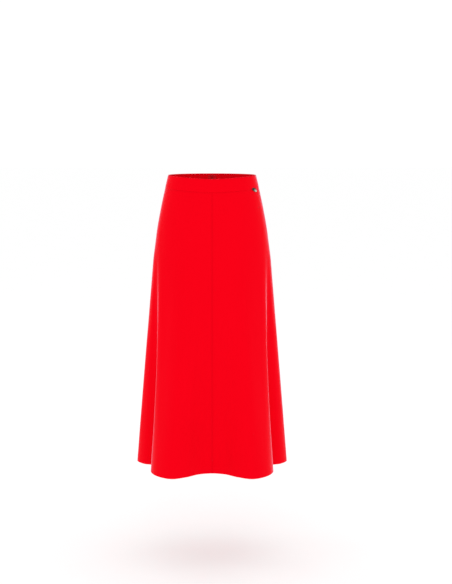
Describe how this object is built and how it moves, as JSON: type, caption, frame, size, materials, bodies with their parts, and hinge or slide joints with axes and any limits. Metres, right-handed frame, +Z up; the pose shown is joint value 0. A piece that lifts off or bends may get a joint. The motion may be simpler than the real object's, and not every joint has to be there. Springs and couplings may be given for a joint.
{
  "type": "flared maxi skirt",
  "caption": "Long flared skirt of smooth cloth, fitted at waist and hip, falling in deep soft folds to a wide hem, with a shaped waistband, a concealed back zip and a small plain metal tag.",
  "frame": {"origin": "centre of the waist ring, half-way down the waistband at the side seams", "axes": "+Z up, -Y towards the front, +X towards the wearer's left"},
  "size_m": [0.47, 0.4044, 0.8984],
  "materials": {
    "red_crepe": "smooth matt crepe with a faint sheen at grazing angles",
    "red_zip_tape": "fine woven tape",
    "red_zip_lacquer": "lacquered to match the cloth",
    "old_silver": "worn antique silver"
  },
  "bodies": {
    "root": {"front_left_panel": "red_crepe", "front_right_panel": "red_crepe", "back_left_panel": "red_crepe", "back_right_panel": "red_crepe", "waistband_front": "red_crepe", "waistband_back_left": "red_crepe", "waistband_back_right": "red_crepe", "zip_tape_left": "red_zip_tape", "zip_tape_right": "red_zip_tape", "zip_slider": "red_zip_lacquer", "metal_tag": "old_silver"},
    "zip_pull": {"zip_pull": "red_zip_lacquer"}
  },
  "joints": [
    {"name": "zip_pull_swing", "type": "hinge", "parent": "root", "child": "zip_pull", "pos_m": [0, 0.09395, 0.01247], "axis": [1, 0, 0], "range_deg": [0, 160]}
  ]
}
